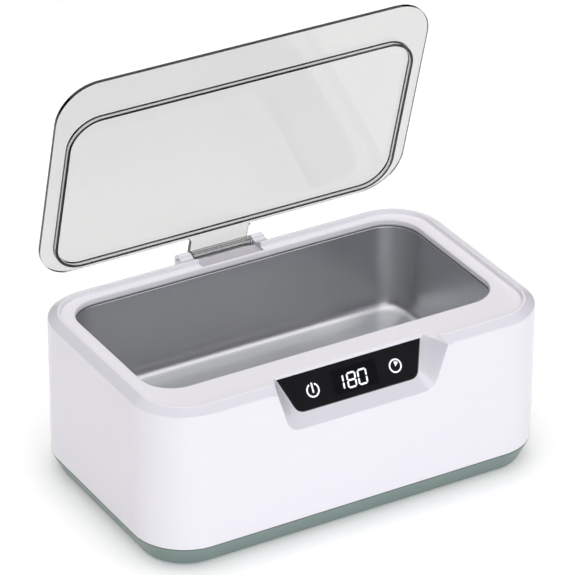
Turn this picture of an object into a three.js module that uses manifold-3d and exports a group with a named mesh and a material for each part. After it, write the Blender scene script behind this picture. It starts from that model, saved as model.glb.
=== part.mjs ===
// Desktop ultrasonic cleaner: a white housing over a grey-green base, a steel tank sunk in the
// top, a smoky lid on a rear hinge, and a sloped control panel in a bevelled notch at the front.
// Millimetres, +Z up, front towards -Y. The lid stands open, as the cleaner is used.
import * as THREE from "three";
import { mergeVertices } from "three/addons/utils/BufferGeometryUtils.js";
import Module from "manifold-3d";

const wasm = await Module();
wasm.setup();

// ---- Driving dimensions ----
const WIDTH = 200; // housing, left to right
const DEPTH = 122; // housing, front to back
const TOP_Z = 80; // highest edge of the housing above the table
const CORNER_RADIUS = 25; // vertical corners of the housing
const WALL = 2.5; // moulded wall thickness
const GAP = 0.3; // clearance wherever two pieces meet
const FOOT_HEIGHT = 1; // how far the rubber feet stand out below the base
const SEAM_Z = 11; // seam between base and housing
const BASE_TAPER = 4.9; // how far the base draws in at its bottom
const CHAMFER_IN = 4.5; // top chamfer, measured inwards
const CHAMFER_DOWN = 2.5; // top chamfer, measured downwards
const SHELF_Z = TOP_Z - 2; // sunken shelf that the closed lid lies on
const SHELF_INSET = 5.7; // rim left standing round the shelf
const LID_THICKNESS = 2;
const LID_OPEN = 75; // degrees from closed to the stored pose
const HINGE_Y = 64.5; // hinge axis
const HINGE_Z = 76.2;
const BARREL_RADIUS = 3.2;
const TAB_HALF = 15; // half width of the lid's hinge tab
const MOUTH = { left: -87.6, right: 87.6, front: -36, back: 50.7, radius: 15.5 }; // tank opening
const TANK_FLOOR_Z = 33;
const STEEL = 0.8; // tank sheet thickness
const PANEL_LEAN = THREE.MathUtils.degToRad(31.2); // control panel leans back from vertical
const PANEL = { bottomY: -56.9, bottomZ: 62.5, bottomHalf: 30, topHalf: 36.1, height: 16.2, radius: 3.2 };
const NOTCH = { bottomZ: 56.7, bottomHalf: 36.3, topHalf: 43, topZ: 77.5, backY: -48.5, radius: 5.5 };
const TRANSDUCER_Y = (MOUTH.front + MOUTH.back) / 2;
const BOARD = { left: 28, right: 88, front: -33, back: 33, bottom: 8, top: 9.6 };
const INLET = { x: 62, z: 21.5 };
const RIBBON_X = 39;
const FRAME_OFFSET_Y = -3.6; // puts the origin under the middle of housing and hinge together
const CORNER_STEPS = 6; // facets per rounded corner
const BACK = DEPTH / 2;
const FRONT = -DEPTH / 2;
const SIDE = WIDTH / 2;

// ---- Solids: closed meshes to and from the boolean library ----
function toSolid(geometry) {
  const bare = geometry.clone();
  bare.deleteAttribute("normal");
  bare.deleteAttribute("uv");
  const merged = mergeVertices(bare, 1e-4);
  return new wasm.Manifold(
    new wasm.Mesh({
      numProp: 3,
      vertProperties: merged.attributes.position.array,
      triVerts: new Uint32Array(merged.index.array),
    }),
  );
}

function toGeometry(solid) {
  const { vertProperties, triVerts } = solid.getMesh();
  const geometry = new THREE.BufferGeometry();
  geometry.setAttribute("position", new THREE.BufferAttribute(vertProperties, 3));
  geometry.setIndex(new THREE.BufferAttribute(triVerts, 1));
  return geometry;
}

function join(...geometries) {
  return toGeometry(geometries.map(toSolid).reduce((sum, solid) => sum.add(solid)));
}

function cut(geometry, ...tools) {
  return toGeometry(tools.map(toSolid).reduce((rest, tool) => rest.subtract(tool), toSolid(geometry)));
}

function overlap(first, second) {
  return toGeometry(toSolid(first).intersect(toSolid(second)));
}

// ---- Outlines and simple shapes ----
function roundedRect(left, right, front, back, radius) {
  const shape = new THREE.Shape();
  shape.absarc(right - radius, front + radius, radius, -Math.PI / 2, 0);
  shape.absarc(right - radius, back - radius, radius, 0, Math.PI / 2);
  shape.absarc(left + radius, back - radius, radius, Math.PI / 2, Math.PI);
  shape.absarc(left + radius, front + radius, radius, Math.PI, Math.PI * 1.5);
  return shape;
}

function housingOutline(inset) {
  const x = SIDE - inset;
  const y = BACK - inset;
  return roundedRect(-x, x, -y, y, CORNER_RADIUS - inset);
}

function mouthOutline(outset) {
  return roundedRect(
    MOUTH.left - outset,
    MOUTH.right + outset,
    MOUTH.front - outset,
    MOUTH.back + outset,
    MOUTH.radius + outset,
  );
}

// A trapezoid with round bottom corners, from its bottom edge at 0 up to the given height.
function trapezoid(bottomHalf, topHalf, height, radius) {
  const lean = ((topHalf - bottomHalf) / height) * radius;
  const shape = new THREE.Shape();
  shape.moveTo(-topHalf, height);
  shape.lineTo(-bottomHalf - lean, radius);
  shape.quadraticCurveTo(-bottomHalf, 0, -bottomHalf + radius, 0);
  shape.lineTo(bottomHalf - radius, 0);
  shape.quadraticCurveTo(bottomHalf, 0, bottomHalf + lean, radius);
  shape.lineTo(topHalf, height);
  return shape;
}

// A closed skin through shapes of equal point count; places[i] turns a point of shapes[i] into x, y, z.
function loft(shapes, places) {
  const rings = shapes.map((shape) => shape.getPoints(CORNER_STEPS));
  const count = rings[0].length;
  const last = (rings.length - 1) * count;
  const index = [];
  for (let level = 0; level + 1 < rings.length; level++)
    for (let k = 0; k < count; k++) {
      const a = level * count + k;
      const b = level * count + ((k + 1) % count);
      index.push(a, b, b + count, a, b + count, a + count);
    }
  THREE.ShapeUtils.triangulateShape(rings[0], []).forEach(([a, b, c]) => index.push(a, c, b));
  THREE.ShapeUtils.triangulateShape(rings.at(-1), []).forEach(([a, b, c]) =>
    index.push(last + a, last + b, last + c),
  );
  const geometry = new THREE.BufferGeometry();
  const positions = rings.flatMap((ring, level) => ring.flatMap((point) => places[level](point)));
  geometry.setAttribute("position", new THREE.Float32BufferAttribute(positions, 3));
  geometry.setIndex(index);
  return geometry;
}

// Horizontal outlines stacked at rising heights.
function stack(...levels) {
  return loft(
    levels.map(([shape]) => shape),
    levels.map(([, z]) => (point) => [point.x, point.y, z]),
  );
}

function prism(shape, bottom, top) {
  return stack([shape, bottom], [shape, top]);
}

function box(left, right, front, back, bottom, top) {
  return new THREE.BoxGeometry(right - left, back - front, top - bottom).translate(
    (left + right) / 2,
    (front + back) / 2,
    (bottom + top) / 2,
  );
}

function rod(radius, x, y, bottom, top, sides = 16) {
  return new THREE.CylinderGeometry(radius, radius, top - bottom, sides)
    .rotateX(Math.PI / 2)
    .translate(x, y, (bottom + top) / 2);
}

function rodAlongX(radius, left, right, y, z, sides = 20) {
  return new THREE.CylinderGeometry(radius, radius, right - left, sides)
    .rotateZ(Math.PI / 2)
    .translate((left + right) / 2, y, z);
}

function rodAlongY(radius, x, front, back, z, sides = 12) {
  return new THREE.CylinderGeometry(radius, radius, back - front, sides).translate(x, (front + back) / 2, z);
}

// A ring about the vertical line through x, y.
function washer(inner, outer, x, y, bottom, top) {
  const profile = [
    new THREE.Vector2(inner, bottom),
    new THREE.Vector2(outer, bottom),
    new THREE.Vector2(outer, top),
    new THREE.Vector2(inner, top),
    new THREE.Vector2(inner, bottom),
  ];
  return new THREE.LatheGeometry(profile, 16).rotateX(Math.PI / 2).translate(x, y, 0);
}

// A screw with its head down: head below, shank up.
function screw(x, y, headBottom, headRadius, headHeight, shankRadius, tip) {
  const profile = [
    new THREE.Vector2(0, headBottom),
    new THREE.Vector2(headRadius, headBottom),
    new THREE.Vector2(headRadius, headBottom + headHeight),
    new THREE.Vector2(shankRadius, headBottom + headHeight),
    new THREE.Vector2(shankRadius, tip - shankRadius),
    new THREE.Vector2(0, tip),
  ];
  return new THREE.LatheGeometry(profile, 10).rotateX(Math.PI / 2).translate(x, y, 0);
}

function wire(radius, points, steps) {
  const section = new THREE.Shape();
  section.absarc(0, 0, radius, 0, Math.PI * 2);
  const path = new THREE.CatmullRomCurve3(points.map((point) => new THREE.Vector3(...point)));
  return new THREE.ExtrudeGeometry(section, { extrudePath: path, steps, curveSegments: 4 });
}

// ---- Materials ----
function material(color, roughness, metalness = 0) {
  return new THREE.MeshStandardMaterial({ color, roughness, metalness });
}

const MATERIALS = {
  white: material(0xf3f2f6, 0.25),
  base: material(0x78887f, 0.35),
  smoke: material(0xc9c8c6, 0.1),
  clear: material(0xe4e6e6, 0.3),
  steel: material(0xb9bcc0, 0.28, 1),
  zinc: material(0x9a9da1, 0.4, 1),
  aluminium: material(0xb4b7ba, 0.45, 1),
  brass: material(0xb8995a, 0.35, 1),
  copper: material(0xb06a3c, 0.4, 1),
  ceramic: material(0x6b6a60, 0.7),
  rubber: material(0x2b2d2e, 0.9),
  silicone: material(0xd9dadb, 0.6),
  panel: material(0x08080a, 0.08),
  black: material(0x151517, 0.5),
  board: material(0x1f5a36, 0.5),
  ferrite: material(0x35353a, 0.6),
  tape: material(0xc9a63a, 0.5),
  sleeve: material(0x1e2c55, 0.4),
  redLead: material(0xa02320, 0.5),
  blackLead: material(0x1a1a1a, 0.5),
};

// ---- Scene graph ----
const cleaner = new THREE.Group();
cleaner.position.y = FRAME_OFFSET_Y;

const lidGroup = new THREE.Group();
lidGroup.position.set(0, HINGE_Y, HINGE_Z);
lidGroup.rotation.x = -THREE.MathUtils.degToRad(LID_OPEN);
cleaner.add(lidGroup);

function add(name, geometry, look, parent = cleaner) {
  const mesh = new THREE.Mesh(geometry, look);
  mesh.name = name;
  parent.add(mesh);
  return mesh;
}

const CORNERS = [
  ["front_left", -1, -1],
  ["front_right", 1, -1],
  ["rear_left", -1, 1],
  ["rear_right", 1, 1],
];
const BASE_SCREW = { x: 82, y: 43, postTop: 29, postBottom: SEAM_Z + 1.8 };
const FOOT = { x: 64, y: 42, radius: 6 };

// ---- Places in the control panel's leaning plane ----
// across: along X; up: along the slope from the panel's bottom edge; behind: into the housing.
function panelPoint(across, up, behind) {
  return [
    across,
    PANEL.bottomY + up * Math.sin(PANEL_LEAN) + behind * Math.cos(PANEL_LEAN),
    PANEL.bottomZ + up * Math.cos(PANEL_LEAN) - behind * Math.sin(PANEL_LEAN),
  ];
}

// A plate in that plane, from one depth to a shallower one; its bottom edge lies dropped below 0.
function panelPlate(shape, deep, shallow, dropped = 0) {
  const place = (behind) => (point) => panelPoint(point.x, point.y - dropped, behind);
  return loft([shape, shape], [place(deep), place(shallow)]);
}

function panelBox(left, right, low, high, deep, shallow) {
  const shape = new THREE.Shape();
  shape.moveTo(left, low).lineTo(right, low).lineTo(right, high).lineTo(left, high);
  return panelPlate(shape, deep, shallow);
}

function panelRod(radius, across, up, deep, shallow) {
  const shape = new THREE.Shape();
  shape.absarc(across, up, radius, 0, Math.PI * 1.99);
  return panelPlate(shape, deep, shallow);
}

function panelOutline(outset, height) {
  const slope = (PANEL.topHalf - PANEL.bottomHalf) / PANEL.height;
  const half = PANEL.bottomHalf + outset;
  return trapezoid(half, half + slope * height, height, PANEL.radius + outset);
}

// The bevelled notch, or a block thicker than it all round that becomes its walls.
function notchBody(outset, behind) {
  const high = TOP_Z + 4;
  const slope = (NOTCH.topHalf - NOTCH.bottomHalf) / (NOTCH.topZ - NOTCH.bottomZ);
  const half = NOTCH.bottomHalf + outset;
  const height = high - NOTCH.bottomZ + outset;
  const frontShape = trapezoid(half, half + slope * height, height, NOTCH.radius + outset);
  const backShape = panelOutline(0.5 + outset, (high - PANEL.bottomZ) / Math.cos(PANEL_LEAN));
  const dropped = 0.5 + outset;
  const spread = 1.08; // the walls keep opening for a little way in front of the housing
  return loft(
    [backShape, frontShape, frontShape],
    [
      (point) => panelPoint(point.x, point.y - dropped, behind),
      (point) => [point.x, FRONT, NOTCH.bottomZ - outset + point.y],
      (point) => [point.x * spread, FRONT - 4, NOTCH.bottomZ - outset - 1 + point.y],
    ],
  );
}

// ---- Housing ----
const LUG = { inner: TAB_HALF + 0.9, outer: TAB_HALF + 7 };

// One hinge lug: a round eye on a gusset that runs down the back wall.
function hingeLug(side) {
  const inside = BACK - 1.5;
  const profile = new THREE.Shape();
  profile.moveTo(inside, HINGE_Z - 14);
  profile.lineTo(HINGE_Y + BARREL_RADIUS, HINGE_Z - 5);
  profile.absarc(HINGE_Y, HINGE_Z, BARREL_RADIUS, 0, Math.PI * 0.75);
  profile.lineTo(inside, HINGE_Z);
  const left = side < 0 ? -LUG.outer : LUG.inner;
  const place = (x) => (point) => [x, point.x, point.y];
  return loft([profile, profile], [place(left), place(left + LUG.outer - LUG.inner)]);
}

function screwPost(sx, sy) {
  const { x, y, postTop, postBottom } = BASE_SCREW;
  const reach = CORNER_RADIUS - WALL * 0.5 - (x - SIDE + CORNER_RADIUS) * Math.SQRT2;
  const ribBottom = postBottom + 2; // clear of the base's spigot
  const rib = new THREE.BoxGeometry(reach, 2.4, postTop - ribBottom)
    .translate(reach / 2, 0, (postTop + ribBottom) / 2)
    .rotateZ(Math.atan2(sy, sx))
    .translate(sx * x, sy * y, 0);
  return join(rod(4, sx * x, sy * y, postBottom, postTop), rib);
}

function housing() {
  const outside = stack(
    [housingOutline(0), SEAM_Z + GAP / 2],
    [housingOutline(0), TOP_Z - CHAMFER_DOWN],
    [housingOutline(CHAMFER_IN), TOP_Z],
  );
  const inside = stack(
    [housingOutline(WALL), SEAM_Z - 1],
    [housingOutline(WALL), TOP_Z - CHAMFER_DOWN - WALL],
    [housingOutline(WALL + 3), SHELF_Z - WALL],
  );
  const notchWalls = overlap(notchBody(2.2, 3.6), outside);
  const notch = overlap(notchBody(0, 0), box(-60, 60, FRONT - 8, NOTCH.backY, 40, TOP_Z + 6));
  const shelf = prism(housingOutline(SHELF_INSET), SHELF_Z, TOP_Z + 2);
  const hingeRecess = box(-LUG.inner, LUG.inner, MOUTH.back + 1.6, BACK + 4, SHELF_Z - 1.2, TOP_Z + 2);
  const body = cut(join(cut(outside, inside), notchWalls), notch, shelf, hingeRecess);
  const posts = CORNERS.map(([, sx, sy]) => screwPost(sx, sy));
  const boardPins = [-1, 1].map((side) => panelRod(1, side * 29, 8, 6.6, 3));
  const lugs = join(hingeLug(-1), hingeLug(1));
  return cut(
    join(body, ...posts, ...boardPins, lugs),
    prism(mouthOutline(0), SHELF_Z - 12, TOP_Z + 2),
    panelPlate(panelOutline(GAP, PANEL.height + GAP), 1.8, -1, GAP),
    panelBox(-17, 17, 3.4, 13, 5, 1),
    ...[-1, 1].map((side) => panelRod(3.3, side * 21, 7.6, 5, 1)),
    rodAlongX(1.6, -LUG.outer - 2, LUG.outer + 2, HINGE_Y, HINGE_Z),
    box(INLET.x - 10.8, INLET.x + 10.8, BACK - 6, BACK + 2, INLET.z - 6.6, INLET.z + 6.6),
    ...CORNERS.map(([, sx, sy]) => rod(1.5, sx * BASE_SCREW.x, sy * BASE_SCREW.y, 10, 26, 12)),
  );
}

// ---- Base ----
function baseBoss(sx, sy) {
  return rod(5.4, sx * BASE_SCREW.x, sy * BASE_SCREW.y, FOOT_HEIGHT + 1, BASE_SCREW.postBottom - GAP);
}

function boardPosts(radius, bottom, top) {
  const { left, right, front, back } = BOARD;
  const places = [
    [left + 4, front + 4],
    [right - 4, front + 4],
    [left + 4, back - 4],
    [right - 4, back - 4],
  ];
  return places.map(([x, y]) => rod(radius, x, y, bottom, top, 12));
}

function baseCover() {
  const floor = FOOT_HEIGHT + WALL;
  const brim = SEAM_Z - GAP / 2;
  const taperAt = (z) => (BASE_TAPER * (brim - z)) / (brim - FOOT_HEIGHT);
  const outside = stack([housingOutline(BASE_TAPER), FOOT_HEIGHT], [housingOutline(0), brim]);
  const inside = stack(
    [housingOutline(taperAt(floor) + WALL), floor],
    [housingOutline(WALL + 1.8), brim],
    [housingOutline(WALL + 1.8), brim + 8],
  );
  const spigot = prism(housingOutline(WALL + GAP), brim - 1.5, brim + 3.5);
  const tray = cut(join(outside, spigot), inside);
  const bosses = CORNERS.map(([, sx, sy]) => baseBoss(sx, sy));
  const standoffs = boardPosts(3, floor - 1, BOARD.bottom - GAP);
  const vents = [];
  for (let row = 0; row < 7; row++)
    vents.push(box(-78 + row * 8, -75 + row * 8, -18, 18, FOOT_HEIGHT - 1, floor + 1));
  const wells = CORNERS.flatMap(([, sx, sy]) => [
    rod(3.5, sx * BASE_SCREW.x, sy * BASE_SCREW.y, FOOT_HEIGHT - 1, 7, 16),
    rod(1.8, sx * BASE_SCREW.x, sy * BASE_SCREW.y, 6, 16, 12),
    rod(FOOT.radius + GAP, sx * FOOT.x, sy * FOOT.y, FOOT_HEIGHT - 1, FOOT_HEIGHT + 1.3),
  ]);
  return cut(join(tray, ...bosses, ...standoffs), ...vents, ...wells, ...boardPosts(1.1, 5, 12));
}

// ---- Tank ----
const TANK_TOP_Z = SHELF_Z - WALL - 1.4; // underside of the seal

function tank() {
  const clearance = 0.5;
  const foldZ = TANK_FLOOR_Z + 8;
  const flange = prism(mouthOutline(clearance + 4.3), TANK_TOP_Z - STEEL, TANK_TOP_Z);
  const outside = stack(
    [mouthOutline(clearance + STEEL - 9), TANK_FLOOR_Z - STEEL],
    [mouthOutline(clearance + STEEL - 2.5), foldZ - STEEL],
    [mouthOutline(clearance + STEEL), TANK_TOP_Z - STEEL / 2],
  );
  const inside = stack(
    [mouthOutline(clearance - 9), TANK_FLOOR_Z],
    [mouthOutline(clearance - 2.5), foldZ],
    [mouthOutline(clearance), TANK_TOP_Z],
    [mouthOutline(clearance), TANK_TOP_Z + 2],
  );
  return cut(join(outside, flange), inside);
}

function tankSeal() {
  const bottom = TANK_TOP_Z + GAP;
  const top = SHELF_Z - WALL - GAP;
  return cut(prism(mouthOutline(4.4), bottom, top), prism(mouthOutline(1.2), bottom - 1, top + 1));
}

// ---- Lid, drawn closed about its hinge axis ----
const LID = {
  rear: BACK - SHELF_INSET - 0.8 - HINGE_Y,
  front: FRONT + SHELF_INSET + GAP - HINGE_Y,
  half: SIDE - SHELF_INSET - GAP,
  bottom: SHELF_Z + GAP - HINGE_Z,
  radius: CORNER_RADIUS - SHELF_INSET,
};

function lidPlate() {
  const top = LID.bottom + LID_THICKNESS;
  const plate = prism(roundedRect(-LID.half, LID.half, LID.front, LID.rear, LID.radius), LID.bottom, top);
  const tabProfile = new THREE.Shape();
  tabProfile.moveTo(LID.rear - 2, LID.bottom);
  tabProfile.lineTo(1.2, LID.bottom);
  tabProfile.quadraticCurveTo(0.8, top, -1.6, top);
  tabProfile.lineTo(LID.rear - 2, top);
  const place = (x) => (point) => [x, point.x, point.y];
  const tab = loft([tabProfile, tabProfile], [place(-TAB_HALF), place(TAB_HALF)]);
  const stopHeel = box(-5, 5, 0, 5.9, -1.3, 1.3);
  const barrel = rodAlongX(BARREL_RADIUS, -TAB_HALF, TAB_HALF, 0, 0);
  const bore = rodAlongX(1.6, -TAB_HALF - 1, TAB_HALF + 1, 0, 0);
  const rightFlare = tabFlare(LID.bottom, top);
  const leftFlare = rightFlare.clone().rotateY(Math.PI).translate(0, 0, LID.bottom + top);
  return cut(join(plate, tab, barrel, stopHeel, rightFlare, leftFlare), bore);
}

// The small round web where the tab's right side runs into the lid's rear edge.
function tabFlare(bottom, top) {
  const radius = 2.5;
  const shape = new THREE.Shape();
  shape.moveTo(TAB_HALF - 1, LID.rear - 1);
  shape.lineTo(TAB_HALF + radius, LID.rear - 1);
  shape.lineTo(TAB_HALF + radius, LID.rear);
  shape.quadraticCurveTo(TAB_HALF, LID.rear, TAB_HALF, LID.rear + radius);
  shape.lineTo(TAB_HALF - 1, LID.rear + radius);
  return prism(shape, bottom, top);
}

function lidSeal() {
  const top = LID.bottom - GAP;
  const bottom = top - 2.4;
  const ring = cut(prism(mouthOutline(-0.4), bottom, top), prism(mouthOutline(-2), bottom - 1, top + 1));
  return ring.translate(0, -HINGE_Y, 0);
}

// ---- Build: outside ----
add("outer_shell", housing(), MATERIALS.white);
add("base_cover", baseCover(), MATERIALS.base);
add("tank", tank(), MATERIALS.steel);
add("tank_seal", tankSeal(), MATERIALS.silicone);
CORNERS.forEach(([corner, sx, sy]) => {
  add(`foot_${corner}`, rod(FOOT.radius, sx * FOOT.x, sy * FOOT.y, 0, FOOT_HEIGHT + 1), MATERIALS.rubber);
  add(
    `base_screw_${corner}`,
    screw(sx * BASE_SCREW.x, sy * BASE_SCREW.y, 4.6, 2.8, 2, 1.2, 23),
    MATERIALS.zinc,
  );
});

// ---- Build: lid and hinge ----
add("lid", lidPlate(), MATERIALS.smoke, lidGroup);
add("lid_seal", lidSeal(), MATERIALS.clear, lidGroup);
add("hinge_pin", rodAlongX(1.25, -LUG.outer, LUG.outer, HINGE_Y, HINGE_Z), MATERIALS.steel);
[-1, 1].forEach((side) => {
  const middle = side * (TAB_HALF + 0.45);
  const disc = rodAlongX(2.8, middle - 0.15, middle + 0.15, HINGE_Y, HINGE_Z);
  const hole = rodAlongX(1.6, middle - 1, middle + 1, HINGE_Y, HINGE_Z);
  add(side < 0 ? "hinge_washer_left" : "hinge_washer_right", cut(disc, hole), MATERIALS.steel);
});

// ---- Build: control panel ----
add("panel_glass", panelPlate(panelOutline(0, PANEL.height), 1.5, 0), MATERIALS.panel);
add("display_module", panelBox(-15.5, 15.5, 4, 12.4, 4.4, 1.8), MATERIALS.black);
[-1, 1].forEach((side) => {
  const spring = cut(panelRod(2.6, side * 21, 7.6, 4.4, 1.8), panelRod(1.8, side * 21, 7.6, 6, 1));
  add(side < 0 ? "touch_spring_power" : "touch_spring_timer", spring, MATERIALS.brass);
});
add(
  "display_board",
  cut(panelBox(-43, 43, 1.6, 14, 5.9, 4.7), ...[-1, 1].map((side) => panelRod(1.3, side * 29, 8, 8, 3))),
  MATERIALS.board,
);

// ---- Build: transducer stack under the tank ----
const STACK = [
  ["transducer_horn", "horn", 8],
  ["piezo_ring_upper", "ring", 4],
  ["electrode_plate", "plate", 0.4],
  ["piezo_ring_lower", "ring", 4],
  ["transducer_back_mass", "mass", 7],
];
let stackTop = TANK_FLOOR_Z - STEEL - GAP;
const stackLooks = { horn: "aluminium", ring: "ceramic", plate: "brass", mass: "zinc" };
STACK.forEach(([name, kind, height]) => {
  const bottom = stackTop - height;
  const radius = kind === "horn" ? 17 : 14;
  const piece = washer(3.3, radius, 0, TRANSDUCER_Y, bottom, stackTop);
  add(name, piece, MATERIALS[stackLooks[kind]]);
  stackTop = bottom - GAP;
});
add(
  "transducer_bolt",
  screw(0, TRANSDUCER_Y, stackTop - 2.5, 5, 2.5, 2.9, TANK_FLOOR_Z - STEEL - 1.2),
  MATERIALS.zinc,
);

// ---- Build: driver board ----
const boardTop = BOARD.top + GAP;
add(
  "driver_board",
  cut(
    box(BOARD.left, BOARD.right, BOARD.front, BOARD.back, BOARD.bottom, BOARD.top),
    ...boardPosts(1.6, BOARD.bottom - 1, BOARD.top + 1),
  ),
  MATERIALS.board,
);
[
  ["board_screw_front", BOARD.left + 4, BOARD.front + 4],
  ["board_screw_rear", BOARD.right - 4, BOARD.back - 4],
].forEach(([name, x, y]) => {
  const upright = screw(0, 0, 0, 2.3, 1.5, 0.8, 5.4).rotateX(Math.PI);
  add(name, upright.translate(x, y, boardTop + 1.5), MATERIALS.zinc);
});

function transformerCore(x, y) {
  const bottom = boardTop;
  const block = box(x - 11, x + 11, y - 5, y + 5, bottom, bottom + 18);
  const windows = [-1, 1].map((side) => {
    const middle = x + side * 5.75;
    return box(middle - 2.75, middle + 2.75, y - 6, y + 6, bottom + 3, bottom + 15);
  });
  return cut(block, ...windows);
}

function transformerWinding(x, y) {
  const bottom = boardTop + 3.4;
  const top = boardTop + 14.6;
  const outer = prism(roundedRect(x - 8, x + 8, y - 9, y + 9, 3), bottom, top);
  return cut(outer, box(x - 3.4, x + 3.4, y - 5.4, y + 5.4, bottom - 1, top + 1));
}

function heatsink(x, y) {
  const top = boardTop + 18;
  const plate = box(x - 11, x + 11, y - 1, y + 1, boardTop, top);
  const fins = [-9.6, -4.8, 0, 4.8, 9.6].map((at) =>
    box(x + at - 0.7, x + at + 0.7, y, y + 7, boardTop, top),
  );
  return join(plate, ...fins);
}

add("transformer_core", transformerCore(72, -12), MATERIALS.ferrite);
add("transformer_winding", transformerWinding(72, -12), MATERIALS.tape);
add("output_choke", washer(3.8, 8.6, 41, -15, boardTop, boardTop + 8), MATERIALS.copper);
add("bulk_capacitor", rod(7, 48, 2, boardTop, boardTop + 19), MATERIALS.sleeve);
add("supply_capacitor", rod(4, 34, 8, boardTop, boardTop + 12), MATERIALS.sleeve);
add("film_capacitor", box(58, 71, 3, 9, boardTop, boardTop + 11), MATERIALS.tape);
add("heatsink", heatsink(68, 17), MATERIALS.aluminium);
add("power_transistor", box(63, 73, 11.1, 15.6, boardTop + 1, boardTop + 16), MATERIALS.black);
add("bridge_rectifier", box(40, 52, 16, 19.5, boardTop, boardTop + 10), MATERIALS.black);
add("fuse", rodAlongX(2.6, 34, 54, 26, boardTop + 2.8, 14), MATERIALS.clear);
add("controller_chip", box(55, 65, -28, -22, boardTop, boardTop + 1.8), MATERIALS.black);
add("ribbon_socket", box(RIBBON_X - 4, RIBBON_X + 4, -31, -27, boardTop, boardTop + 5), MATERIALS.clear);

// ---- Build: power inlet and leads ----
function powerInlet() {
  const { x, z } = INLET;
  const flange = box(x - 13, x + 13, BACK + GAP, BACK + 2, z - 8.5, z + 8.5);
  const block = box(x - 10.4, x + 10.4, BACK - 14, BACK + 1, z - 6.2, z + 6.2);
  const socket = [-4.3, 4.3].map((at) => rodAlongY(4.6, x + at, BACK - 10, BACK + 4, z, 16));
  const between = box(x - 4.3, x + 4.3, BACK - 10, BACK + 4, z - 4.6, z + 4.6);
  const pinHoles = [-4.3, 4.3].map((at) => rodAlongY(1.5, x + at, BACK - 16, BACK, z));
  return cut(join(flange, block), ...socket, between, ...pinHoles);
}

add("power_inlet", powerInlet(), MATERIALS.black);
[-1, 1].forEach((side) => {
  const x = INLET.x + side * 4.3;
  const suffix = side < 0 ? "left" : "right";
  const leadLook = side < 0 ? MATERIALS.redLead : MATERIALS.blackLead;
  add(`inlet_pin_${suffix}`, rodAlongY(1.15, x, BACK - 17, BACK - 1, INLET.z), MATERIALS.brass);
  const inletRoute = [
    [x, BACK - 17.4, INLET.z],
    [x, BACK - 21, INLET.z],
    [x - 1, BACK - 25, 16],
    [x - 3, 29.5, 12],
    [x - 3.5, 29, boardTop],
  ];
  add(`inlet_lead_${suffix}`, wire(0.8, inletRoute, 14), leadLook);
  const endX = 16 + side * 1.5;
  const driveRoute = [
    [31.5, -8 + side * 2, boardTop],
    [31.3, -8 + side * 2, 12.5],
    [27, -5 + side * 2, 14.5],
    [22, TRANSDUCER_Y - 6 + side * 2, 16 + side * 2.4],
    [endX, TRANSDUCER_Y + side * 2, 19 + side * 2.4],
  ];
  add(`transducer_lead_${suffix}`, wire(0.7, driveRoute, 14), leadLook);
});

// A flat cable that keeps to one upright plane between the driver board and the display board.
function displayRibbon() {
  const path = new THREE.CatmullRomCurve3(
    [
      [-29, boardTop + 5.4],
      [-29.2, 20],
      [-35, 31],
      [-42, 42],
      [-47.5, 54],
      [-49.3, 61.2],
    ].map(([y, z]) => new THREE.Vector3(RIBBON_X, y, z)),
  );
  const section = new THREE.Shape();
  section.moveTo(-3.5, -0.4).lineTo(3.5, -0.4).lineTo(3.5, 0.4).lineTo(-3.5, 0.4);
  return new THREE.ExtrudeGeometry(section, { extrudePath: path, steps: 16 });
}

add("display_ribbon", displayRibbon(), MATERIALS.clear);

export default cleaner;
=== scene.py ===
import math

import bmesh
import bpy
from mathutils import Matrix, Vector


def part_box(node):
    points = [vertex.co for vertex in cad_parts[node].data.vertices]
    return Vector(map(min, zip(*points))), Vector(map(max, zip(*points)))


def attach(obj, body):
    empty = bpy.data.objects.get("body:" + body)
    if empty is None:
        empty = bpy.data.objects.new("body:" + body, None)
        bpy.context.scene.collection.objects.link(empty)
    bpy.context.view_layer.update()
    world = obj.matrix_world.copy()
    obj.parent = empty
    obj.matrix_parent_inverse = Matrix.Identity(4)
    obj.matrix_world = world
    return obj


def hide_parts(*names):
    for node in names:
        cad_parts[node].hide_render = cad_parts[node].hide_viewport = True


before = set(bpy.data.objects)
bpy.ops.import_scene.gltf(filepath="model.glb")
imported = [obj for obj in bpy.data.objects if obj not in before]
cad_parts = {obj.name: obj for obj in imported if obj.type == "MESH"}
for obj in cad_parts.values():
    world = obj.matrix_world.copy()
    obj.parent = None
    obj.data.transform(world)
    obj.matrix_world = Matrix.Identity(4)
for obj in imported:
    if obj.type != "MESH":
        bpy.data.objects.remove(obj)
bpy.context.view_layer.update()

# ---- Sizes, in millimetres about the middle of the housing, as the CAD has them ----
MM = 0.001
base_low, base_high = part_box("base_cover")
pin_low, pin_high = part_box("hinge_pin")
MIDDLE_Y = (base_low.y + base_high.y) / 2  # in metres
SIDE = base_high.x / MM
BACK = (base_high.y - base_low.y) / 2 / MM
TOP_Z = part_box("outer_shell")[1].z / MM
HINGE_Y = ((pin_low.y + pin_high.y) / 2 - MIDDLE_Y) / MM
HINGE_Z = (pin_low.z + pin_high.z) / 2 / MM
CORNER_RADIUS = 25  # the housing's upright corners
WALL = 2.5
GAP = 0.3  # clearance wherever two pieces meet
FOOT_HEIGHT = 1
SEAM_Z = 11  # between base and housing
BASE_TAPER = 4.9
CHAMFER_IN, CHAMFER_DOWN = 4.5, 2.5  # round the housing's top
SHELF_Z = TOP_Z - 2  # the sunken shelf that the closed lid lies on
SHELF_INSET = 5.7
LID_THICKNESS = 2
LID_OPEN = math.radians(-75)
BARREL_RADIUS = 3.2
PIN_RADIUS, PIN_BORE = 1.25, 1.6
TAB_HALF = 15  # the lid's hinge tab
LUG_INNER, LUG_OUTER = TAB_HALF + 0.9, TAB_HALF + 7
MOUTH_LEFT, MOUTH_RIGHT, MOUTH_FRONT, MOUTH_BACK, MOUTH_RADIUS = -87.6, 87.6, -36, 50.7, 15.5
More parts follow.
